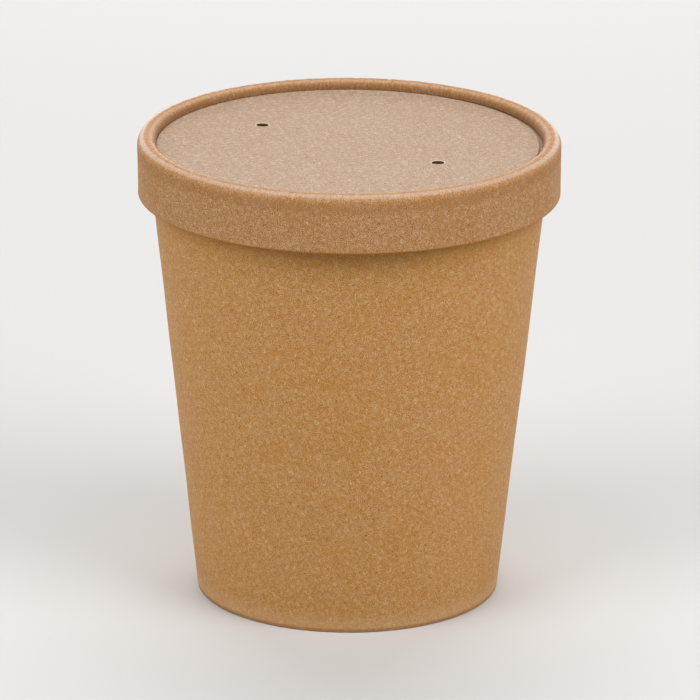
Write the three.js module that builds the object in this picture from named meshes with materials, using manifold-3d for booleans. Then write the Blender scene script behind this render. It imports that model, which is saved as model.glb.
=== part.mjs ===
// Takeaway soup container of kraft board, shut, with its recessed lid on.
// Millimetres, +Z up, origin at the middle of the foot on the table.

import * as THREE from "three";
import { mergeVertices } from "three/addons/utils/BufferGeometryUtils.js";
import Module from "manifold-3d";

const wasm = await Module();
wasm.setup();

// Overall sizes
const totalHeight = 134.2;
const lidRadius = 60;
const footRadius = 43.2;
const skirtEdgeHeight = 117.6;
const wallRadiusAtSkirtEdge = 55.84;

// Facets of everything that is turned
const sides = 72;
const arcStep = THREE.MathUtils.degToRad(15);
const clearance = 0.3;

// Lid: a board ring with a rolled bead on top, round a sunk disc
const skirtBoard = 0.7;
const skirtDraft = 0.15;
const beadRadius = 2.65;
const discBoard = 0.7;
const ventRadius = 1.75;
const ventSpread = 30.7;
const ventAngles = [144, -36];
const ventSides = 20;
const ventWellDepth = 5;

// Cup: a tapered wall with a rolled rim, standing on its folded foot
const rimRollRadius = 1.7;
const footWidth = 1.5;
const footRounding = 0.35;
const recessDepth = 8;
const baseBoard = 0.6;

// Lap seams, where the ends of the blanks are glued over each other
const cupLap = { angle: 101, width: 8, lift: 0.35 };
const skirtLap = { angle: 63, width: 7, lift: 0.3 };

// Heights and radii that follow from the sizes above
const wallSlope = (wallRadiusAtSkirtEdge - footRadius) / skirtEdgeHeight;
const beadCentreRadius = lidRadius - beadRadius;
const beadCentreHeight = totalHeight - beadRadius;
const discTop = beadCentreHeight;
const discUnderside = discTop - discBoard;
const skirtInside = lidRadius - skirtBoard;
const rimTop = discUnderside - clearance;
const rimRollHeight = rimTop - rimRollRadius;
const rimRollCentre = skirtInside - clearance - rimRollRadius;

function wallRadius(height) {
  return footRadius + wallSlope * height;
}

// Points of an arc in the radius and height plane, both ends included
function arc(centreRadius, centreHeight, radius, from, to) {
  const steps = Math.max(2, Math.round(Math.abs(to - from) / arcStep));
  const points = [];
  for (let i = 0; i <= steps; i += 1) {
    const angle = from + ((to - from) * i) / steps;
    points.push([
      centreRadius + radius * Math.cos(angle),
      centreHeight + radius * Math.sin(angle),
    ]);
  }
  return points;
}

// A solid of revolution about Z from an outline that runs up its outer side
function turned(outline) {
  const points = outline.map(([radius, height]) => new THREE.Vector2(radius, height));
  return new THREE.LatheGeometry(points, sides).rotateX(Math.PI / 2);
}

// Merged vertices and triangles of a closed geometry, as a solid to cut and join
function toSolid(geometry) {
  const bare = geometry.clone();
  bare.deleteAttribute("normal");
  bare.deleteAttribute("uv");
  const merged = mergeVertices(bare);
  const corners = merged.index.array;
  const kept = [];
  for (let i = 0; i < corners.length; i += 3) {
    const [a, b, c] = [corners[i], corners[i + 1], corners[i + 2]];
    if (a !== b && b !== c && c !== a) {
      kept.push(a, b, c);
    }
  }
  return new wasm.Manifold(new wasm.Mesh({
    numProp: 3,
    vertProperties: new Float32Array(merged.attributes.position.array),
    triVerts: new Uint32Array(kept),
  }));
}

function toGeometry(solid) {
  const { vertProperties, triVerts } = solid.getMesh();
  const geometry = new THREE.BufferGeometry();
  geometry.setAttribute("position", new THREE.BufferAttribute(vertProperties, 3));
  geometry.setIndex(new THREE.BufferAttribute(triVerts, 1));
  geometry.computeVertexNormals();
  return geometry;
}

// The strip of a turned shell that lies within a lap's width
function lapStrip(shellOutline, lap) {
  const reach = 2 * lidRadius;
  const window = new THREE.BoxGeometry(reach, lap.width, 2 * totalHeight);
  window.translate(reach / 2, 0, 0);
  window.rotateZ(THREE.MathUtils.degToRad(lap.angle));
  return toSolid(turned(shellOutline)).intersect(toSolid(window));
}

// An upright plug at each vent, from one height to another
function ventPlugs(from, to, radius) {
  return ventAngles.map((degrees) => {
    const angle = THREE.MathUtils.degToRad(degrees);
    const plug = new THREE.CylinderGeometry(radius, radius, to - from, ventSides);
    plug.rotateX(Math.PI / 2);
    plug.translate(
      ventSpread * Math.cos(angle),
      ventSpread * Math.sin(angle),
      (from + to) / 2,
    );
    return toSolid(plug);
  });
}

function kraft(color, roughness) {
  return new THREE.MeshStandardMaterial({ color, roughness, metalness: 0 });
}

function named(name, geometry, material) {
  const mesh = new THREE.Mesh(geometry, material);
  mesh.name = name;
  return mesh;
}

// Wall, rolled rim and what the shut cup holds are one solid; the vents end in short wells in it
function makeCup() {
  const footInside = footRadius - footWidth;
  const recessTop = recessDepth + baseBoard + clearance;
  const rollLow = rimRollHeight - rimRollRadius * Math.cos(arcStep);
  const body = toSolid(turned([
    [0, recessTop],
    [footInside + wallSlope * recessTop, recessTop],
    ...arc(footInside + footRounding, footRounding, footRounding, -Math.PI, -Math.PI / 2),
    ...arc(footRadius - footRounding, footRounding, footRounding, -Math.PI / 2, 0),
    [wallRadius(rollLow), rollLow],
    ...arc(rimRollCentre, rimRollHeight, rimRollRadius, -Math.PI / 3, Math.PI / 2),
    [0, rimTop],
  ]));
  const lapTop = rollLow - clearance;
  const lap = lapStrip([
    [wallRadius(footRounding) - cupLap.lift, footRounding],
    [wallRadius(footRounding) + cupLap.lift, footRounding],
    [wallRadius(lapTop) + cupLap.lift, lapTop],
    [wallRadius(lapTop) - cupLap.lift, lapTop],
    [wallRadius(footRounding) - cupLap.lift, footRounding],
  ], cupLap);
  let cup = body.add(lap);
  for (const well of ventPlugs(rimTop - ventWellDepth, rimTop + clearance, ventRadius)) {
    cup = cup.subtract(well);
  }
  return named("cup", toGeometry(cup), kraft(0xb88b5a, 0.85));
}

// The bottom disc, set up inside the foot
function makeCupBase() {
  const inside = footRadius - footWidth + wallSlope * recessDepth - clearance;
  const top = recessDepth + baseBoard;
  const disc = turned([
    [0, recessDepth],
    [inside, recessDepth],
    [inside, top],
    [0, top],
  ]);
  return named("cup_base", disc, kraft(0xb58a5c, 0.85));
}

// Skirt and bead, one board ring that is rolled inwards over the disc's edge
function makeLidRing() {
  const beadUnderside = discTop + clearance;
  const arcEnd = Math.PI - Math.asin(clearance / beadRadius);
  const skirtFoot = lidRadius - skirtDraft;
  const ring = toSolid(turned([
    [skirtFoot, skirtEdgeHeight],
    ...arc(beadCentreRadius, beadCentreHeight, beadRadius, 0, Math.PI / 2),
    ...arc(beadCentreRadius, beadCentreHeight, beadRadius, Math.PI / 2, arcEnd).slice(1),
    [skirtInside, beadUnderside],
    [skirtFoot - skirtBoard, skirtEdgeHeight],
    [skirtFoot, skirtEdgeHeight],
  ]));
  const halfBoard = skirtBoard / 2;
  const lap = lapStrip([
    [skirtFoot - halfBoard, skirtEdgeHeight],
    [skirtFoot + skirtLap.lift, skirtEdgeHeight],
    [lidRadius + skirtLap.lift, beadCentreHeight],
    [lidRadius - halfBoard, beadCentreHeight],
    [skirtFoot - halfBoard, skirtEdgeHeight],
  ], skirtLap);
  return named("lid_ring", toGeometry(ring.add(lap)), kraft(0xba8f62, 0.85));
}

// The sunk disc, held between the bead and the cup's rim, with its two vents
function makeLidDisc() {
  const edge = skirtInside - clearance;
  let disc = toSolid(turned([
    [0, discUnderside],
    [edge, discUnderside],
    [edge, discTop],
    [0, discTop],
  ]));
  for (const plug of ventPlugs(discUnderside - clearance, discTop + clearance, ventRadius)) {
    disc = disc.subtract(plug);
  }
  return named("lid_disc", toGeometry(disc), kraft(0xcaad92, 0.85));
}

const cup = new THREE.Group();
cup.add(makeCup(), makeCupBase());

const lid = new THREE.Group();
lid.add(makeLidRing(), makeLidDisc());

const container = new THREE.Group();
container.add(cup, lid);

export default container;
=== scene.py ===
import bpy
import bmesh
import math
import numpy as np
from mathutils import Matrix, Vector
from mathutils.geometry import delaunay_2d_cdt


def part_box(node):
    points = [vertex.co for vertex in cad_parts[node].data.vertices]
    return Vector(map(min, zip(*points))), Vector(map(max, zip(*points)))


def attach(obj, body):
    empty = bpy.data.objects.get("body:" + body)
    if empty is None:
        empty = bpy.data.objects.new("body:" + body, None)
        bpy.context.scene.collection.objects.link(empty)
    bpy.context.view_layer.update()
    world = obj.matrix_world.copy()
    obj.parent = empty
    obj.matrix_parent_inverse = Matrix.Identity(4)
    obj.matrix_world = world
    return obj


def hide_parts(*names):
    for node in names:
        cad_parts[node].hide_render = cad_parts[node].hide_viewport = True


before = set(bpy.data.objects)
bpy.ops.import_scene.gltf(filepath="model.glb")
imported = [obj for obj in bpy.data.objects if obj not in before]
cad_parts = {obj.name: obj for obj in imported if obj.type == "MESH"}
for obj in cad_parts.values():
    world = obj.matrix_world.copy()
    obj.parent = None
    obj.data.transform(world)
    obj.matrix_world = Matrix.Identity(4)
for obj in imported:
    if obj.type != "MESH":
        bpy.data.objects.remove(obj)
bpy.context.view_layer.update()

mm = 0.001
fullTurn = 2 * math.pi


# Camera, matched to the photo's outlines

cameraSettings = {
    "elevation": 18.39,      # degrees above the table
    "distance": 2.053,       # metres from the target
    "target": 0.066,         # height on the axis that it looks at
    "lens": 369.65,
    "sensor": 36,
    "shiftX": 0.0023,
    "shiftY": 0.0193,
    "roll": 0.28,            # degrees
}


def makeCamera(s):
    up = math.radians(s["elevation"])
    data = bpy.data.cameras.new("photoCamera")
    data.lens = s["lens"]
    data.sensor_width = s["sensor"]
    data.shift_x = s["shiftX"]
    data.shift_y = s["shiftY"]
    data.dof.use_dof = False
    cam = bpy.data.objects.new("photoCamera", data)
    spot = Vector((0, -math.cos(up), math.sin(up))) * s["distance"] + Vector((0, 0, s["target"]))
    pitch = Matrix.Rotation(math.pi / 2 - up, 4, "X")
    tilt = pitch @ Matrix.Rotation(math.radians(s["roll"]), 4, "Z")
    cam.matrix_world = Matrix.Translation(spot) @ tilt
    bpy.context.scene.collection.objects.link(cam)
    bpy.context.scene.camera = cam


makeCamera(cameraSettings)
print("camera done")


# Sizes in mm that the pieces share: the CAD nodes' boxes, and what the boxes don't tell

sharedSettings = {
    "footRadius": 43.08,         # the wall's straight line carried down to the table
    "wallAtSkirt": 55.71,        # its radius at the height of the skirt's edge
    "ventRadius": 1.75,
    "ventSpread": 30.7,          # from the axis to the middle of a vent
    "ventAngles": (144, -36),    # degrees
}


def nodeBox(node):
    low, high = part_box(node)
    return np.array(low) / mm, np.array(high) / mm


cupHigh = nodeBox("cup")[1]
ringLow, ringHigh = nodeBox("lid_ring")
discLow, discHigh = nodeBox("lid_disc")
baseLow, baseHigh = nodeBox("cup_base")

lidRadius = ringHigh[0]
skirtEdge = ringLow[2]
lidTop = ringHigh[2]
discTop = discHigh[2]
discUnder = discLow[2]
rimTop = cupHigh[2]
footRadius = sharedSettings["footRadius"]
wallSlope = (sharedSettings["wallAtSkirt"] - footRadius) / skirtEdge
ventRadius = sharedSettings["ventRadius"]
ventSpread = sharedSettings["ventSpread"]
ventTurns = [math.radians(angle) for angle in sharedSettings["ventAngles"]]
vents = [(ventSpread * math.cos(a), ventSpread * math.sin(a)) for a in ventTurns]


def wallRadius(height):
    return footRadius + wallSlope * height


# Mesh helpers: every piece is welded from turned blocks and flat sheets

meshSettings = {
    "angleDigits": 7,        # angles that agree to this many digits are one
    "rimGap": 0.6,           # how far a sheet's inner points keep from its rim, in pitches
    "holeGap": 0.5,          # and from a hole
    "holeShare": 0.995,      # triangles with their middle within this share of a hole are left out
    "nearest": 1e-7,         # points of a sheet that are closer than this are one
    "weld": 2e-6,            # metres
    "sharpAngle": 40,        # degrees
}


def arcPoints(centreR, centreZ, radius, start, end, steps):
    # start and end in degrees, 0 pointing outwards and 90 up
    turn = np.radians(np.linspace(start, end, steps + 1))
    return [(centreR + radius * math.cos(t), centreZ + radius * math.sin(t)) for t in turn]


def linePoints(start, end, steps):
    first, run = np.array(start), np.array(end) - np.array(start)
    return [tuple(first + run * k / steps) for k in range(steps + 1)]


def evenAngles(count, extra=(), start=0.0):
    # one turn from start, with extra angles where an edge has to be crisp
    turns = np.linspace(0, fullTurn, count, endpoint=False)
    turns = np.concatenate([turns, [start], np.array(extra)])
    return np.unique(np.round((turns - start) % fullTurn, meshSettings["angleDigits"])) + start


def ringOf(radius, angles, centre=(0, 0)):
    return np.stack([centre[0] + radius * np.cos(angles), centre[1] + radius * np.sin(angles)], 1)


def arcLengths(outline):
    steps = np.linalg.norm(np.diff(np.array(outline), axis=0), axis=1)
    return np.concatenate([[0], np.cumsum(steps)])


def outlineNormals(outline):
    pts = np.array(outline)
    run = np.gradient(pts, axis=0)
    if np.allclose(pts[0], pts[-1]):
        run[0] = run[-1] = pts[1] - pts[-2]
    out = np.stack([run[:, 1], -run[:, 0]], 1)
    return out / np.maximum(np.linalg.norm(out, axis=1, keepdims=True), 1e-9)


def turnedBlock(outline, angles, uvRadius=None, lift=None, centre=(0, 0)):
    # outline runs up the outer side; lift pushes the surface out, in mm
    # the sheet's coordinates run round uvRadius and along the outline; without it they are x and y
    pts = np.array(outline)
    along = arcLengths(outline)
    radius = np.repeat(pts[:, :1], len(angles), 1)
    height = np.repeat(pts[:, 1:], len(angles), 1)
    if lift is not None:
        push = lift(angles[None, :], along[:, None])
        out = outlineNormals(outline)
        radius = radius + push * out[:, :1]
        height = height + push * out[:, 1:]
    x = centre[0] + radius * np.cos(angles)
    y = centre[1] + radius * np.sin(angles)
    verts = np.stack([x, y, height], 2).reshape(-1, 3)
    n = len(angles)
    i, j = np.meshgrid(np.arange(len(pts) - 1), np.arange(n), indexing="ij")
    k = (j + 1) % n
    faces = np.stack([i * n + j, i * n + k, (i + 1) * n + k, (i + 1) * n + j], 2).reshape(-1, 4)
    if uvRadius is None:
        uvs = verts[faces.reshape(-1), :2].reshape(-1, 4, 2)
    else:
        turn = (np.concatenate([angles, [fullTurn + angles[0]]]) - angles[0]) * uvRadius
        u = np.stack([turn[j], turn[j + 1], turn[j + 1], turn[j]], 2).reshape(-1, 4)
        v = np.stack([along[i], along[i], along[i + 1], along[i + 1]], 2).reshape(-1, 4)
        uvs = np.stack([u, v], 2)
    return verts, faces.tolist(), uvs.reshape(-1, 2)


def fanBlock(radius, height, angles, up, centre=(0, 0)):
    verts = np.vstack([[centre[0], centre[1]], ringOf(radius, angles, centre)])
    n = len(angles)
    order = [(0, 1 + j, 1 + (j + 1) % n) if up else (0, 1 + (j + 1) % n, 1 + j) for j in range(n)]
    uvs = verts[np.array(order).reshape(-1)]
    return np.hstack([verts, np.full((n + 1, 1), height)]), order, uvs


def sheetBlock(rim, height, pitch, holes, up):
    # flat sheet inside the rim ring, triangulated round the holes
    m = meshSettings
    loops = [rim] + holes
    points = np.vstack(loops)
    edges, start = [], 0
    for loop in loops:
        edges += [(start + k, start + (k + 1) % len(loop)) for k in range(len(loop))]
        start += len(loop)
    reach = np.linalg.norm(rim, axis=1).min()
    rows = np.arange(-reach, reach, pitch * math.sqrt(3) / 2)
    inner = []
    for k, y in enumerate(rows):
        x = np.arange(-reach, reach, pitch) + (k % 2) * pitch / 2
        inner.append(np.stack([x, np.full_like(x, y)], 1))
    inner = np.vstack(inner)
    keep = np.linalg.norm(inner, axis=1) < reach - pitch * m["rimGap"]
    holeSizes = [(hole.mean(0), np.linalg.norm(hole[0] - hole.mean(0))) for hole in holes]
    for middle, size in holeSizes:
        keep &= np.linalg.norm(inner - middle, axis=1) > size + pitch * m["holeGap"]
    points = np.vstack([points, inner[keep]])
    found = delaunay_2d_cdt([Vector(p) for p in points.tolist()], edges, [], 0, m["nearest"])
    flatPoints = np.array([tuple(v) for v in found[0]])
    tris = np.array(found[2])
    middles = flatPoints[tris].mean(1)
    inside = np.ones(len(tris), bool)
    for middle, size in holeSizes:
        inside &= np.linalg.norm(middles - middle, axis=1) > size * m["holeShare"]
    tris = tris[inside]
    a, b, c = (flatPoints[tris[:, k]] for k in range(3))
    ccw = (b[:, 0] - a[:, 0]) * (c[:, 1] - a[:, 1]) - (b[:, 1] - a[:, 1]) * (c[:, 0] - a[:, 0]) > 0
    turn = ccw != up
    tris[turn] = tris[turn][:, ::-1]
    verts = np.hstack([flatPoints, np.full((len(flatPoints), 1), height)])
    return verts, tris.tolist(), flatPoints[tris.reshape(-1)]


def weldPiece(name, blocks, material, relief=None):
    # relief moves the finished vertices, in mm
    verts, faces, uvs, start = [], [], [], 0
    for v, f, t in blocks:
        verts.append(v)
        faces += [tuple(start + k for k in face) for face in f]
        uvs.append(t)
        start += len(v)
    verts = np.vstack(verts)
    if relief is not None:
        verts = verts + relief(verts)
    mesh = bpy.data.meshes.new(name)
    mesh.from_pydata((verts * mm).tolist(), [], faces)
    layer = mesh.uv_layers.new(name="board")
    layer.uv.foreach_set("vector", np.vstack(uvs).astype(np.float32).ravel())
    bm = bmesh.new()
    bm.from_mesh(mesh)
    bmesh.ops.remove_doubles(bm, verts=bm.verts, dist=meshSettings["weld"])
    looseEdges = sum(1 for e in bm.edges if len(e.link_faces) != 2)
    bm.to_mesh(mesh)
    bm.free()
    mesh.shade_smooth()
    mesh.set_sharp_from_angle(angle=math.radians(meshSettings["sharpAngle"]))
    mesh.materials.append(material)
    piece = bpy.data.objects.new(name, mesh)
    bpy.context.scene.collection.objects.link(piece)
    print(name, len(mesh.polygons), "faces,", looseEdges, "open edges")
    return piece


# Gentle unevenness, as a sum of waves that close round the axis

def waveField(waves):
    rng = np.random.RandomState(waves["seed"])
    drawn = []
    for _ in range(waves["count"]):
        turns = rng.randint(0, waves["turnsUpTo"] + 1)
        pitch = waves["pitchFrom"] * rng.uniform(1, 4)
        facing = rng.choice([-1, 1])
        drawn.append((turns, facing * fullTurn / pitch, rng.uniform(0, fullTurn)))
    size = waves["height"] / math.sqrt(waves["count"])
    return lambda angle, along: sum(size * np.cos(t * angle + k * along + p) for t, k, p in drawn)


def smooth(low, high, value):
    t = np.clip((value - low) / (high - low), 0, 1)
    return t * t * (3 - 2 * t)


# Lap seams: a crisp step at the cut edge, where the sheet's turn starts, and a soft rise after it

lapSettings = {
    "fade": 2.2,             # mm over which the lap sinks back into the sheet
    "endFade": 0.6,          # and over which it starts and stops along the seam
    "meshBefore": 0.25,      # mm from the cut to the mesh edges on both sides of it
    "meshAfter": 0.3,
    "shadeReach": (0.6, 0.1),    # mm beside the cut where its shade begins and is full
    "shadeAmount": 0.55,
}


def lapField(lap, radius, low, high):
    first = math.radians(lap["angle"]) - lap["width"] / 2 / radius
    last = first + lap["width"] / radius
    fade, endFade = lapSettings["fade"], lapSettings["endFade"]

    def lift(angle, along):
        rise = smooth(first, first + lap["step"] / radius, angle)
        rise = rise * (1 - smooth(last - fade / radius, last, angle))
        started = smooth(low, low + endFade, along)
        return lap["lift"] * rise * started * (1 - smooth(high - endFade, high, along))

    edges = [first - lapSettings["meshBefore"] / radius, first + lap["step"] / radius]
    edges.append(first + lapSettings["meshAfter"] / radius)
    return lift, edges, first


# Kraft board, one material function for every sheet; coordinates are mm on the sheet

boardLook = {
    "pale": (0.65, 0.395, 0.138),
    "deep": (0.31, 0.072, 0.0),
    "clay": (0.49, 0.265, 0.085),        # greyer patches
    "amber": (0.46, 0.21, 0.03),         # warmer patches
    "fibrePale": (0.69, 0.5, 0.28),
    "fibreDark": (0.25, 0.08, 0.004),
    "speck": (0.17, 0.06, 0.008),
    # angle, length and width of the fibres in mm, and a shift that keeps the layers apart
    "paleFibres": ((14, 2.4, 0.25, 3), (62, 2.0, 0.23, 17), (107, 2.6, 0.25, 31), (151, 2.2, 0.23, 47)),
    "darkFibres": ((38, 1.5, 0.27, 61), (128, 1.7, 0.27, 83)),
    "specks": (25, 1.9, 1.5, 9),
    # how far one reaches in its cell, and the share of the cells that hold one
    "paleFill": (0.42, 0.16),
    "darkFill": (0.42, 0.22),
    "speckFill": (0.21, 0.07),
    # noises: how many to a mm, detail, roughness
    "curlNoise": (0.7, 1),
    "cloudNoise": (0.05, 2, 0.5),
    "blotNoise": (0.33, 2, 0.6),
    "grainNoise": (3.3, 3, 0.85),
    "curl": 1.1,                         # mm that the fibres' coordinates are bent by
    "grainRange": (0.34, 0.66),          # grain that is drawn deepest and palest
    "patchRange": (0.45, 0.7),           # noise where a patch begins, and where it is full
    # how strongly each is blended in
    "clayAmount": 0.3,
    "amberAmount": 0.25,
    "fibres": 0.66,
    "darkShare": 0.7,                    # of that, for the dark fibres
    "speckAmount": 0.7,
    "roughness": 0.62,
    "roughRange": (0.3, 0.7),            # grain that is smoothest and roughest
    "roughSpread": 0.06,
    "gloss": 0.22,
    "fibreLift": 0.5,                    # height of a pale fibre, where the grain's is 1
    "bump": 0.22,
    "bumpDepth": 0.00012,                # metres
}
ringLook = {
    **boardLook,
    "pale": (0.61, 0.37, 0.16),
    "deep": (0.2, 0.034, 0.0),
    "clay": (0.42, 0.235, 0.1),
    "amber": (0.37, 0.16, 0.03),
    "fibrePale": (0.65, 0.46, 0.29),
    "fibreDark": (0.2, 0.06, 0.002),
    "fibres": 0.6,
    "gloss": 0.14,
}
# the lid top's paler, greyer colours are mostly a painted sheen: the board looks paler at the grazing
# view from the front
discLook = {
    **boardLook,
    "pale": (0.5, 0.39, 0.31),
    "deep": (0.205, 0.085, 0.008),
    "clay": (0.38, 0.265, 0.18),
    "amber": (0.35, 0.22, 0.12),
    "fibrePale": (0.61, 0.51, 0.43),
    "fibreDark": (0.17, 0.08, 0.02),
    "roughness": 0.68,
    "gloss": 0.1,
    "bump": 0.55,
}
cellSettings = {
    "sideShift": 0.37,       # sideways part of a layer's shift
    "core": 0.45,            # share of its reach where a fibre is full
    "shareFade": 0.08,       # random values above the share over which fibres vanish
    "faintest": 0.35,        # the weakest fibre, where the strongest is 1
}


def newNode(tree, kind, **values):
    node = tree.nodes.new(kind)
    for key, value in values.items():
        if hasattr(node, key):
            setattr(node, key, value)
        else:
            node.inputs[key].default_value = value
    return node


def sumUp(tree, operation, first, second, third=None):
    node = newNode(tree, "ShaderNodeMath", operation=operation)
    for k, value in enumerate((first, second, third)):
        if value is None:
            continue
        if isinstance(value, (int, float)):
            node.inputs[k].default_value = value
        else:
            tree.links.new(value, node.inputs[k])
    return node.outputs[0]


def ranged(tree, socket, low, high, toLow=0.0, toHigh=1.0, kind="SMOOTHSTEP"):
    node = newNode(tree, "ShaderNodeMapRange", interpolation_type=kind)
    for name, value in (("From Min", low), ("From Max", high), ("To Min", toLow), ("To Max", toHigh)):
        node.inputs[name].default_value = value
    tree.links.new(socket, node.inputs["Value"])
    return node.outputs["Result"]


def band(tree, socket, start, reach):
    # 1 from the first to the second number of reach, fading over the third on both sides
    low, high, soft = start + reach[0], start + reach[1], reach[2]
    rise = ranged(tree, socket, low - soft, low)
    fall = ranged(tree, socket, high + soft, high)
    return sumUp(tree, "MULTIPLY", rise, fall)


def blendColours(tree, factor, first, second, amount=1.0):
    node = newNode(tree, "ShaderNodeMix", data_type="RGBA")
    for name, colour in (("A", first), ("B", second)):
        socket = next(s for s in node.inputs if s.name == name and s.type == "RGBA")
        if isinstance(colour, tuple):
            socket.default_value = (*colour, 1)
        else:
            tree.links.new(colour, socket)
    if amount != 1.0:
        factor = sumUp(tree, "MULTIPLY", factor, amount)
    tree.links.new(factor, node.inputs[0])
    return next(s for s in node.outputs if s.type == "RGBA")


def noiseOf(tree, coords, scale, detail, roughness=0.5, stretch=None):
    source = coords
    if stretch:
        squeeze = newNode(tree, "ShaderNodeVectorMath", operation="MULTIPLY")
        squeeze.inputs[1].default_value = (*stretch, 1)
        tree.links.new(coords, squeeze.inputs[0])
        source = squeeze.outputs[0]
    noise = newNode(tree, "ShaderNodeTexNoise", noise_dimensions="2D", Scale=scale, Detail=detail)
    noise.inputs["Roughness"].default_value = roughness
    tree.links.new(source, noise.inputs["Vector"])
    return noise


def cellLayer(tree, coords, turn, length, width, shift, reach, share):
    # long thin cells, turned one way; the share of them with the lowest random value is drawn
    c = cellSettings
    place = newNode(tree, "ShaderNodeMapping", vector_type="TEXTURE")
    place.inputs["Location"].default_value = (shift, shift * c["sideShift"], 0)
    place.inputs["Rotation"].default_value = (0, 0, math.radians(turn))
    place.inputs["Scale"].default_value = (length, width, 1)
    tree.links.new(coords, place.inputs["Vector"])
    cells = newNode(tree, "ShaderNodeTexVoronoi", voronoi_dimensions="2D", feature="F1", Scale=1)
    tree.links.new(place.outputs["Vector"], cells.inputs["Vector"])
    split = newNode(tree, "ShaderNodeSeparateColor")
    tree.links.new(cells.outputs["Color"], split.inputs["Color"])
    near = ranged(tree, cells.outputs["Distance"], reach, reach * c["core"])
    drawn = ranged(tree, split.outputs["Red"], share + c["shareFade"], share)
    strength = ranged(tree, split.outputs["Green"], 0, 1, c["faintest"], 1.0, "LINEAR")
    return sumUp(tree, "MULTIPLY", sumUp(tree, "MULTIPLY", near, drawn), strength)


def layered(tree, coords, layers, reach, share):
    best = None
    for layer in layers:
        one = cellLayer(tree, coords, *layer, reach, share)
        best = one if best is None else sumUp(tree, "MAXIMUM", best, one)
    return best


def curledSheet(tree, sheet, look):
    # bends the coordinates a little, so that fibres aren't straight
    noise = noiseOf(tree, sheet, *look["curlNoise"])
    centred = newNode(tree, "ShaderNodeVectorMath", operation="SUBTRACT")
    tree.links.new(noise.outputs["Color"], centred.inputs[0])
    centred.inputs[1].default_value = (0.5, 0.5, 0.5)
    bend = newNode(tree, "ShaderNodeVectorMath", operation="SCALE")
    tree.links.new(centred.outputs[0], bend.inputs[0])
    bend.inputs["Scale"].default_value = look["curl"]
    curled = newNode(tree, "ShaderNodeVectorMath", operation="ADD")
    tree.links.new(sheet, curled.inputs[0])
    tree.links.new(bend.outputs[0], curled.inputs[1])
    return curled.outputs[0]


def seamShade(tree, sheet, colour, turn, deep):
    # a thin shade beside the lap's cut edge, where the sheet's turn ends
    split = newNode(tree, "ShaderNodeSeparateXYZ")
    tree.links.new(sheet, split.inputs[0])
    far, near = lapSettings["shadeReach"]
    beside = ranged(tree, split.outputs["X"], turn - far, turn - near)
    return blendColours(tree, beside, colour, deep, lapSettings["shadeAmount"]), split.outputs["Y"]


def kraftBoard(name, look, dress=None):
    mat = bpy.data.materials.new(name)
    mat.use_nodes = True
    tree = mat.node_tree
    shader = tree.nodes["Principled BSDF"]
    sheet = newNode(tree, "ShaderNodeUVMap", uv_map="board").outputs["UV"]

    curled = curledSheet(tree, sheet, look)
    paleFibres = layered(tree, curled, look["paleFibres"], *look["paleFill"])
    darkFibres = layered(tree, curled, look["darkFibres"], *look["darkFill"])
    specks = cellLayer(tree, sheet, *look["specks"], *look["speckFill"])

    grain = noiseOf(tree, sheet, *look["grainNoise"]).outputs["Fac"]
    blots = noiseOf(tree, sheet, *look["blotNoise"]).outputs["Fac"]
    blots = ranged(tree, blots, *look["patchRange"])
    clouds = noiseOf(tree, sheet, *look["cloudNoise"]).outputs["Fac"]
    clouds = ranged(tree, clouds, *look["patchRange"])
    shade = ranged(tree, grain, *look["grainRange"], kind="LINEAR")
    colour = blendColours(tree, shade, look["deep"], look["pale"])
    colour = blendColours(tree, blots, colour, look["clay"], look["clayAmount"])
    colour = blendColours(tree, clouds, colour, look["amber"], look["amberAmount"])
    colour = blendColours(tree, darkFibres, colour, look["fibreDark"], look["fibres"] * look["darkShare"])
    colour = blendColours(tree, paleFibres, colour, look["fibrePale"], look["fibres"])
    colour = blendColours(tree, specks, colour, look["speck"], look["speckAmount"])

    # pale fibres stand up from the sheet; the paler the grain, the rougher it is
    height = sumUp(tree, "MULTIPLY_ADD", paleFibres, look["fibreLift"], grain)
    smoothest = look["roughness"] - look["roughSpread"]
    roughest = look["roughness"] + look["roughSpread"]
    rough = ranged(tree, grain, *look["roughRange"], smoothest, roughest)
    if dress:
        colour, height, rough = dress(tree, sheet, colour, height, rough)
    tree.links.new(colour, shader.inputs["Base Color"])
    tree.links.new(rough, shader.inputs["Roughness"])
    shader.inputs["Specular IOR Level"].default_value = look["gloss"]
    bump = newNode(tree, "ShaderNodeBump", Distance=look["bumpDepth"])
    bump.inputs["Strength"].default_value = look["bump"]
    tree.links.new(height, bump.inputs["Height"])
    tree.links.new(bump.outputs["Normal"], shader.inputs["Normal"])
    return mat


# Cup: tapered wall, rolled rim under the lid, folded foot

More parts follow.
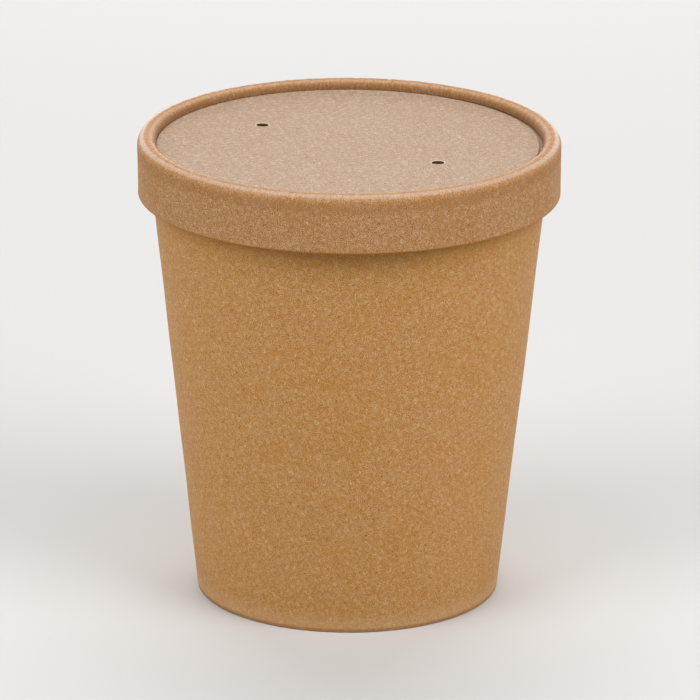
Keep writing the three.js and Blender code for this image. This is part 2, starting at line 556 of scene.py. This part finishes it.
cupSettings = {
    "sides": 480,
    "uvRadius": 50,                      # about the wall's middle radius
    "lap": {"angle": 101, "width": 8, "lift": 0.35, "step": 0.06},
    "waves": {"seed": 11, "count": 14, "turnsUpTo": 7, "pitchFrom": 24, "height": 0.07},
    "wavesRise": (-1, 6),                # mm from the wall's foot between which the waves set in
    "wavesFade": 8,                      # mm below the rim's roll over which they stop
    # the foot is the wall's board, folded inwards and up round the base disc
    "board": 0.4,
    "footWidth": 1.5,
    "footInnerRounding": 0.5,
    "footOuterRounding": 0.45,
    "foldTop": 6.6,
    "foldEdge": 0.2,                     # rounding of the fold's upper edge
    "foldRise": 0.1,
    "foldBulge": (0.05, 3.4),            # how far it stands out, and at what height
    "foldStart": 0.6,                    # height where the inner rounding ends
    "recessGap": 0.3,                    # over the base disc
    "wallStart": 1.2,                    # mm above the table
    "wallRows": 46,
    "rimRoll": 1.7,
    "rollTuck": 0.97,                    # the wall ends this share of the roll's radius below its middle
    "rollArc": (-60, 90, 12),
    "topPitch": 6,                       # mesh pitch of the hidden sheet under the lid
    "ventSides": 24,
    "wellDepth": 5,
    "shadeReach": (12, 2),               # mm below and above the skirt's edge
    "skirtShadow": (0.45, 0.17, 0.008),  # painted shadow that the skirt's edge casts on the wall
    "shadeAmount": 0.6,
    "bounceReach": (6, 0.5),               # mm above the foot
    "bounceColour": (0.68, 0.45, 0.26),    # painted light from the table's bounce, paler just above the foot
    "bounceAmount": 0.28,
    "footShadowReach": (0.3, -0.5),            # mm above and below the foot's edge, where painted shadow darkens the fold
    # painted shade, beside the lap's cut and in the foot's fold
    "shadeBrown": (0.2, 0.07, 0.01),
    "footShadowAmount": 0.45,
}


def dressCup(s, footLine, skirtLine):
    # footLine and skirtLine are how far up the sheet the foot's edge and the skirt's edge are
    def dress(tree, sheet, colour, height, rough):
        colour, across = seamShade(tree, sheet, colour, fullTurn * s["uvRadius"], s["shadeBrown"])
        # painted shadow on the wall below the skirt's edge
        below, above = s["shadeReach"]
        shaded = ranged(tree, across, skirtLine - below, skirtLine + above)
        colour = blendColours(tree, shaded, colour, s["skirtShadow"], s["shadeAmount"])
        # painted light from the table's bounce, just above the foot
        far, near = s["bounceReach"]
        floorBounce = ranged(tree, across, footLine + far, footLine + near)
        colour = blendColours(tree, floorBounce, colour, s["bounceColour"], s["bounceAmount"])
        # painted shadow where the foot folds under
        far, near = s["footShadowReach"]
        footShadow = ranged(tree, across, footLine + far, footLine + near)
        return blendColours(tree, footShadow, colour, s["shadeBrown"], s["footShadowAmount"]), height, rough

    return dress


def footOutline(s, recessTop):
    inner = footRadius - s["footWidth"]
    foldTop, foldEdge = s["foldTop"], s["foldEdge"]
    inside, outside = s["footInnerRounding"], s["footOuterRounding"]
    bulge, bulgeHeight = s["foldBulge"]
    foot = [(inner + wallSlope * recessTop, recessTop)]
    foot.append((inner + s["board"] + wallSlope * foldTop, foldTop + s["foldRise"]))
    foot += arcPoints(inner + foldEdge + wallSlope * foldTop, foldTop - foldEdge, foldEdge, 90, 180, 3)
    foot += linePoints((inner + bulge, bulgeHeight), (inner, s["foldStart"]), 2)
    foot += arcPoints(inner + inside, inside, inside, 180, 270, 6)
    foot += arcPoints(footRadius - outside, outside, outside, 270, 360, 6)
    return foot


def makeCup(s):
    recessTop = baseHigh[2] + s["recessGap"]
    rollR = cupHigh[0] - s["rimRoll"]
    rollZ = rimTop - s["rimRoll"]
    rollLow = rollZ - s["rimRoll"] * s["rollTuck"]
    lapLift, lapEdges, cut = lapField(s["lap"], s["uvRadius"], 0, rollLow)
    waves = waveField(s["waves"])
    angles = evenAngles(s["sides"], lapEdges, cut)

    foot = footOutline(s, recessTop)
    start = s["wallStart"]
    wall = linePoints((wallRadius(start), start), (wallRadius(rollLow), rollLow), s["wallRows"])
    roll = arcPoints(rollR, rollZ, s["rimRoll"], *s["rollArc"])
    outline = foot + wall + roll
    along = arcLengths(outline)
    wallStart = along[len(foot)]
    wallEnd = along[len(foot) + len(wall) - 1]

    def lift(angle, length):
        first, full = s["wavesRise"]
        onWall = smooth(wallStart + first, wallStart + full, length)
        onWall = onWall * (1 - smooth(wallEnd - s["wavesFade"], wallEnd, length))
        seam = lapLift(angle, (length - wallStart) / (wallEnd - wallStart) * rollLow)
        return waves(angle, length) * onWall + seam

    blocks = [turnedBlock(outline, angles, s["uvRadius"], lift)]
    blocks.append(fanBlock(outline[0][0], recessTop, angles, False))
    around = np.linspace(0, fullTurn, s["ventSides"], endpoint=False)
    holes = [ringOf(ventRadius, around, vent) for vent in vents]
    blocks.append(sheetBlock(ringOf(rollR, angles), rimTop, s["topPitch"], holes, True))
    wellFloor = rimTop - s["wellDepth"]
    for vent in vents:
        well = [(ventRadius, rimTop), (ventRadius, wellFloor)]
        blocks.append(turnedBlock(well, around, s["uvRadius"], centre=vent))
        blocks.append(fanBlock(ventRadius, wellFloor, around, True, vent))
    skirtLine = wallStart + skirtEdge * math.hypot(1, wallSlope)
    material = kraftBoard("cupKraft", boardLook, dressCup(s, wallStart, skirtLine))
    piece = weldPiece("cup_board", blocks, material)
    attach(piece, "root")
    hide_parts("cup")


makeCup(cupSettings)


# Base disc, pressed into the foot with its edge turned down

baseSettings = {
    "sides": 240,
    "uvRadius": 50,
    "board": 0.6,
    "bend": 0.9,             # outer radius of the turned edge
    "flange": 1.0,           # how far the edge reaches down
    "lowPitch": 2.5,
    "topPitch": 6,
}


def makeBase(s):
    edge = baseHigh[0]
    low, high = baseLow[2], baseHigh[2]
    bend, board = s["bend"], s["board"]
    drop = low - s["flange"]
    outline = [(edge - bend - board, low)]
    outline += arcPoints(edge - bend - board, low - bend + board, bend - board, 90, 0, 4)[1:]
    outline += [(edge - board, drop), (edge, drop)]
    outline += arcPoints(edge - bend, high - bend, bend, 0, 90, 8)
    angles = evenAngles(s["sides"])
    lowRim, highRim = ringOf(outline[0][0], angles), ringOf(outline[-1][0], angles)
    blocks = [turnedBlock(outline, angles, s["uvRadius"])]
    blocks.append(sheetBlock(lowRim, low, s["lowPitch"], [], False))
    blocks.append(sheetBlock(highRim, high, s["topPitch"], [], True))
    piece = weldPiece("base_board", blocks, kraftBoard("baseKraft", boardLook))
    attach(piece, "root")
    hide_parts("cup_base")


makeBase(baseSettings)


# Lid ring: skirt with a rolled bead, crimped where the board curls in

ringSettings = {
    "sides": 1440,
    "board": 0.7,
    "draft": 0.15,                       # the skirt's edge is this much narrower than its top
    "cutRounding": 0.2,
    "skirtFrom": (0.01, 1),              # mm out and up from the skirt's edge, where its rows start
    "skirtRows": 14,
    "bead": 2.65,                        # outer radius of the roll
    "beadSteps": 26,
    "gap": 0.04,                         # between the bead and the disc's level
    "underReach": 0.3,                   # flat under the bead, from its inner side
    "insideRows": (0.5, 0.25, 5),        # mm below the bead's underside and above the edge, and rows
    "lap": {"angle": 63, "width": 7, "lift": 0.3, "step": 0.05},
    "lapStart": 0.6,                     # mm of the lap that lie below the skirt's edge
    "lapOver": 1.5,                      # mm of the lap on the bead
    "waves": {"seed": 29, "count": 12, "turnsUpTo": 9, "pitchFrom": 18, "height": 0.05},
    "wavesRise": (0.2, 1.5),             # mm from the skirt's edge between which the waves set in
    "wavesFade": 0.2,                    # mm past the bead over which they stop
    "beadCalm": 0.7,                     # share of the waves that the bead takes away
    "crimps": 800,
    "crimpSeed": 23,
    "crimpDepth": (0.015, 0.075),
    "crimpWidth": (0.3, 0.8),
    "crimpFrom": (0.1, 0.55),            # share of the bead's roll where a crimp sets in
    "crimpRise": 0.3,                    # share of the roll over which it gets its depth
    "crimpEnd": 1.04,
    "crimpSlant": 3.0,                   # mm sideways at most over the whole roll
    # colours and where they lie: from, to and fade, in mm from where the bead starts
    "beadHighlight": (0.51, 0.415, 0.35),     # painted highlight on the bead, streaked like stretched fibres
    "shoulder": (2.3, 3.0, 0.8),
    "inward": (5.1, 5.6, 0.7),
    "inwardAmount": 0.45,
    "crestShade": (0.345, 0.17, 0.068),   # painted shade on its top, where it turns to the disc: amber board that catches no highlight
    "crest": (3.6, 4.6, 0.6),
    "innerShade": (0.17, 0.075, 0.03),    # painted shade on the bead's side towards the disc
    "inner": (5.2, 7.4),
    "shadeDeep": (0.29, 0.125, 0.03),    # painted shade below the bead, also the colour of the lap seam's shade
    "under": (-1.6, 0.2, 1.6),
    "underAmount": 0.3,
    "rawEdgeAndBounce": (0.42, 0.17, 0.02),       # cut edge of the board, its orange partly painted warm bounce light
    "rawReach": (0.5, 0.35),             # mm up the sheet from its end
    "rawAmount": 0.8,
    # rolling draws the fibres into streaks that run over the bead
    "streakNoise": (1, 4, 0.75, (1.7, 0.42)),
    "streakRange": (0.3, 0.7),
    "highlightStreaks": (0.6, 0.15),          # how much of a colour the streaks decide, and its base
    "shadeStreaks": (-0.4, 0.9),
    "streakLift": 1.0,
    "patchNoise": (0.7, 3, 0.7),
    "patchRange": (0.38, 0.6, 0.1, 0.85),
    "beadRoughness": 0.5,
}


def crimpField(s, rollStart, rollLength):
    rng = np.random.RandomState(s["crimpSeed"])
    crimps = []
    for _ in range(s["crimps"]):
        crimps.append({
            "turn": rng.uniform(0, fullTurn),
            "width": rng.uniform(*s["crimpWidth"]) / lidRadius,
            "depth": rng.uniform(*s["crimpDepth"]) * rng.choice([-1, -1, 1]),
            "from": rng.uniform(*s["crimpFrom"]),
            "slant": rng.uniform(-1, 1) * s["crimpSlant"] / lidRadius,
        })

    def lift(angle, along):
        t = (along - rollStart) / rollLength
        total = np.zeros(np.broadcast(angle, along).shape)
        for c in crimps:
            away = (angle - c["turn"] - c["slant"] * t + math.pi) % fullTurn - math.pi
            rise = smooth(c["from"], c["from"] + s["crimpRise"], t)
            total += c["depth"] * np.exp(-(away / c["width"]) ** 2) * rise
        return total * (1 - smooth(1.0, s["crimpEnd"], t))

    return lift


def dressRing(s, rollStart):
    def streaked(tree, area, streaks, mix):
        return sumUp(tree, "MULTIPLY", area, sumUp(tree, "MULTIPLY_ADD", streaks, *mix))

    def dress(tree, sheet, colour, height, rough):
        colour, across = seamShade(tree, sheet, colour, fullTurn * lidRadius, s["shadeDeep"])
        streaks = ranged(tree, noiseOf(tree, sheet, *s["streakNoise"]).outputs["Fac"], *s["streakRange"])
        shoulder = band(tree, across, rollStart, s["shoulder"])
        crest = band(tree, across, rollStart, s["crest"])
        inward = sumUp(tree, "MULTIPLY", band(tree, across, rollStart, s["inward"]), s["inwardAmount"])
        bead = sumUp(tree, "MAXIMUM", shoulder, inward)
        inner = ranged(tree, across, rollStart + s["inner"][0], rollStart + s["inner"][1])
        # painted shade in a band just below the bead
        under = band(tree, across, rollStart, s["under"])
        colour = blendColours(tree, under, colour, s["shadeDeep"], s["underAmount"])
        # painted highlight on the bead's shoulder and, fainter, on its inward side
        pale = streaked(tree, bead, streaks, s["highlightStreaks"])
        colour = blendColours(tree, pale, colour, s["beadHighlight"])
        patches = ranged(tree, noiseOf(tree, sheet, *s["patchNoise"]).outputs["Fac"], *s["patchRange"])
        # painted shade along the bead's crest, in patches
        colour = blendColours(tree, sumUp(tree, "MULTIPLY", crest, patches), colour, s["crestShade"])
        # painted shade, streaked, on the bead's side towards the disc
        deep = streaked(tree, inner, streaks, s["shadeStreaks"])
        colour = blendColours(tree, deep, colour, s["innerShade"])
        edge = ranged(tree, across, *s["rawReach"])
        # the skirt's cut edge: the board's raw colour, partly painted warm bounce light
        colour = blendColours(tree, edge, colour, s["rawEdgeAndBounce"], s["rawAmount"])
        curled = sumUp(tree, "MAXIMUM", sumUp(tree, "MAXIMUM", bead, crest), inner)
        raised = sumUp(tree, "MULTIPLY", streaks, curled)
        height = sumUp(tree, "MULTIPLY_ADD", raised, s["streakLift"], height)
        smoother = sumUp(tree, "MULTIPLY", bead, ringLook["roughness"] - s["beadRoughness"])
        rough = sumUp(tree, "SUBTRACT", rough, smoother)
        return colour, height, rough

    return dress


def makeRing(s):
    board, bead, cut = s["board"], s["bead"], s["cutRounding"]
    beadR = lidRadius - bead
    beadZ = lidTop - bead
    low = lidRadius - s["draft"]
    seat = discTop + s["gap"]
    ending = 180 - math.degrees(math.asin(s["gap"] / bead))      # where the bead meets the seat
    out, up = s["skirtFrom"]
    outline = arcPoints(low - cut, skirtEdge + cut, cut, 270, 360, 3)
    outline += linePoints((low + out, skirtEdge + up), (lidRadius, beadZ), s["skirtRows"])[:-1]
    skirtCount = len(outline)
    outline += arcPoints(beadR, beadZ, bead, 0, ending, s["beadSteps"])
    rollCount = len(outline)
    outline += [(beadR - bead + s["underReach"], seat), (lidRadius - board, seat)]
    down, up, rows = s["insideRows"]
    outline += linePoints((lidRadius - board, seat - down), (low - board, skirtEdge + up), rows)
    outline += arcPoints(low - board + cut, skirtEdge + cut, cut, 180, 270, 3)
    outline += [outline[0]]
    along = arcLengths(outline)
    rollStart, rollEnd = along[skirtCount], along[rollCount - 1]
    crimps = crimpField(s, rollStart, rollEnd - rollStart)
    waves = waveField(s["waves"])
    lapLift, lapEdges, lapCut = lapField(s["lap"], lidRadius, 0.0, rollStart + s["lapOver"])

    def lift(angle, length):
        outside = smooth(*s["wavesRise"], length)
        outside = outside * (1 - smooth(rollEnd, rollEnd + s["wavesFade"], length))
        calm = 1 - s["beadCalm"] * smooth(rollStart, rollEnd, length)
        lap = lapLift(angle, length + s["lapStart"]) * outside
        return waves(angle, length) * outside * calm + crimps(angle, length) + lap

    angles = evenAngles(s["sides"], lapEdges, lapCut)
    material = kraftBoard("ringKraft", ringLook, dressRing(s, rollStart))
    piece = weldPiece("lid_skirt", [turnedBlock(outline, angles, lidRadius, lift)], material)
    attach(piece, "root")
    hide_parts("lid_ring")


makeRing(ringSettings)


# Lid disc, sunk below the bead, with its punched vents

discSettings = {
    "sides": 720,
    "pitch": 0.8,
    "underPitch": 4,
    "marginRows": 30,
    "marginFrom": 1.2,                   # mm under the bead, where the fine rows start
    # waviness, as waves in all directions
    "relief": 0.05,
    "waves": 10,
    "waveSeed": 41,
    "firstWave": 9,
    "waveStep": 3.1,
    "waveFade": (8, 6),                  # mm from the disc's edge
    "skin": (0.2, 0.12),                 # mm from underside and top between which the relief sets in
    "ventSides": 40,
    "ventReach": 3.4,
    # out from the vent's edge and up from the disc, where the punch raised the board
    "ventLip": ((0, -0.1), (0.04, -0.02), (0.13, 0.03), (0.28, 0.045), (0.5, 0.025), (0.9, 0)),
    # the disc dips before it goes under the bead, most on one side
    "dipFrom": 52.4,
    "dipDepth": 0.55,
    "dipShares": (0.1, 0.585, 0.315),    # all round, on one side, on both sides
    "dipNarrow": 0.25,
    "dipWide": 1.05,
    "dipSoft": 0.35,
    "dipTurn": -6,
    # colours: from, to and fade, in mm from the vent's edge
    # paler torn fibres round the punched vent, with a painted highlight on its lip
    "ventLipAndHighlight": (0.66, 0.54, 0.41),
    "ventRimReach": (0.05, 0.25, 0.15),
    "ventRimAmount": 0.8,
    # painted shade on the vent's cut wall
    "ventWallShade": (0.1, 0.04, 0.012),
    "ventWallReach": (0.05, 0.02),
    "rippleNoise": (0.75, 2, 0.6),       # the sheet's own waviness, finer than the mesh carries
    "rippleLift": 3.0,
}


def dressDisc(s):
    def dress(tree, sheet, colour, height, rough):
        nearest = None
        for x, y in vents:
            away = newNode(tree, "ShaderNodeVectorMath", operation="DISTANCE")
            tree.links.new(sheet, away.inputs[0])
            away.inputs[1].default_value = (x, y, 0)
            one = away.outputs["Value"]
            nearest = one if nearest is None else sumUp(tree, "MINIMUM", nearest, one)
        # paler punched lip with a painted highlight round each vent
        rim = band(tree, nearest, ventRadius, s["ventRimReach"])
        colour = blendColours(tree, rim, colour, s["ventLipAndHighlight"], s["ventRimAmount"])
        # painted shade inside the vent
        out, full = s["ventWallReach"]
        inside = ranged(tree, nearest, ventRadius + out, ventRadius + full)
        colour = blendColours(tree, inside, colour, s["ventWallShade"])
        ripple = noiseOf(tree, sheet, *s["rippleNoise"]).outputs["Fac"]
        return colour, sumUp(tree, "MULTIPLY_ADD", ripple, s["rippleLift"], height), rough

    return dress


def discRelief(s, edge, beadInside):
    waves = []
    for k in range(s["waves"]):
        facing, phase = np.random.RandomState(s["waveSeed"] + k).uniform(0, fullTurn, 2)
        pitch = s["firstWave"] + s["waveStep"] * k
        waves.append((math.cos(facing), math.sin(facing), fullTurn / pitch, phase))
    aboveUnder, belowTop = s["skin"]
    fadeFrom, fadeTo = s["waveFade"]
    allRound, oneWay, bothWays = s["dipShares"]

    def relief(verts):
        top = smooth(discUnder + aboveUnder, discTop - belowTop, verts[:, 2])
        away = np.linalg.norm(verts[:, :2], axis=1)
        height = sum(np.cos(k * (verts[:, 0] * x + verts[:, 1] * y) + p) for x, y, k, p in waves)
        turn = np.arctan2(verts[:, 1], verts[:, 0]) - math.radians(s["dipTurn"])
        oneSide = (0.5 + 0.5 * np.cos(turn)) ** 4
        bothSides = np.cos(turn) ** 4
        deep = s["dipDepth"] * (allRound + oneWay * oneSide + bothWays * bothSides)
        wide = s["dipNarrow"] + (s["dipWide"] - s["dipNarrow"]) * oneSide
        dip = smooth(beadInside - wide, beadInside - wide + s["dipSoft"], away)
        fading = 1 - smooth(edge - fadeFrom, edge - fadeTo, away)
        waviness = s["relief"] / math.sqrt(s["waves"]) * height * fading
        move = np.zeros_like(verts)
        move[:, 2] = (waviness - deep * dip) * top
        return move

    return relief


def makeDisc(s):
    angles = evenAngles(s["sides"])
    around = np.linspace(0, fullTurn, s["ventSides"], endpoint=False)
    edge = discHigh[0]
    reach, dipFrom = s["ventReach"], s["dipFrom"]
    beadInside = lidRadius - 2 * ringSettings["bead"]
    topHoles = [ringOf(reach, around, vent) for vent in vents]
    lowHoles = [ringOf(ventRadius, around, vent) for vent in vents]
    blocks = [sheetBlock(ringOf(dipFrom, angles), discTop, s["pitch"], topHoles, True)]
    blocks.append(sheetBlock(ringOf(edge, angles), discUnder, s["underPitch"], lowHoles, False))
    margin = [(edge, discUnder), (edge, discTop)]
    margin += linePoints((beadInside + s["marginFrom"], discTop), (dipFrom, discTop), s["marginRows"])
    blocks.append(turnedBlock(margin, angles))
    lip = [(ventRadius, discUnder)]
    lip += [(ventRadius + out, discTop + up) for out, up in s["ventLip"]]
    lip.append((reach, discTop))
    for vent in vents:
        blocks.append(turnedBlock(lip[::-1], around, centre=vent))
    material = kraftBoard("discKraft", discLook, dressDisc(s))
    piece = weldPiece("lid_top", blocks, material, discRelief(s, edge, beadInside))
    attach(piece, "root")
    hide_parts("lid_disc")


makeDisc(discSettings)
print("container done")


# Table and lights

stageSettings = {
    "tableSize": 6.0,
    "tableColour": (0.56, 0.555, 0.545),
    "tableRoughness": 0.9,
    "worldColour": (1.0, 0.99, 0.975),
    "worldStrength": 0.02,
    "aimHeight": 0.07,           # metres, the height on the axis that the lights point at
    "lights": {
        # azimuth from the camera, elevation, distance, width, height, watts
        "backdropGlow": (180, 12, 1.4, 2.2, 0.5, 18.2),
        "backTop": (180, 65, 1.4, 1.2, 0.6, 9.0),
        "frontTop": (0, 65, 1.3, 1.2, 0.6, 7.6),
        "leftFront": (-54, 38, 1.3, 0.8, 0.7, 7.75),
        "rightFront": (54, 38, 1.3, 0.8, 0.7, 9.35),
        "leftLow": (-90, 12, 1.3, 0.6, 0.6, 2.1),
        "rightLow": (90, 12, 1.3, 0.6, 0.6, 1.9),
    },
}


def makeTable(s):
    mesh = bpy.data.meshes.new("table")
    half = s["tableSize"] / 2
    corners = [(-half, -half, 0), (half, -half, 0), (half, half, 0), (-half, half, 0)]
    mesh.from_pydata(corners, [], [(0, 1, 2, 3)])
    mat = bpy.data.materials.new("tablePaint")
    mat.use_nodes = True
    shader = mat.node_tree.nodes["Principled BSDF"]
    shader.inputs["Base Color"].default_value = (*s["tableColour"], 1)
    shader.inputs["Roughness"].default_value = s["tableRoughness"]
    mesh.materials.append(mat)
    table = bpy.data.objects.new("table", mesh)
    bpy.context.scene.collection.objects.link(table)


def makeLights(s):
    world = bpy.data.worlds.new("softRoom")
    world.use_nodes = True
    sky = world.node_tree.nodes["Background"]
    sky.inputs["Color"].default_value = (*s["worldColour"], 1)
    sky.inputs["Strength"].default_value = s["worldStrength"]
    bpy.context.scene.world = world
    aim = Vector((0, 0, s["aimHeight"]))
    for name, (turn, rise, away, wide, high, watts) in s["lights"].items():
        light = bpy.data.lights.new(name, "AREA")
        light.shape = "RECTANGLE"
        light.size = wide
        light.size_y = high
        light.energy = watts
        box = bpy.data.objects.new(name, light)
        a, e = math.radians(turn), math.radians(rise)
        spot = Vector((math.sin(a) * math.cos(e), -math.cos(a) * math.cos(e), math.sin(e))) * away
        spot.z += s["aimHeight"]
        box.location = spot
        box.visible_camera = False
        box.rotation_euler = (aim - spot).to_track_quat("-Z", "Y").to_euler()
        bpy.context.scene.collection.objects.link(box)


makeTable(stageSettings)
makeLights(stageSettings)
view = bpy.context.scene.view_settings
view.view_transform = "Standard"
view.look = "None"
view.exposure = 0
view.gamma = 1
print("stage done")
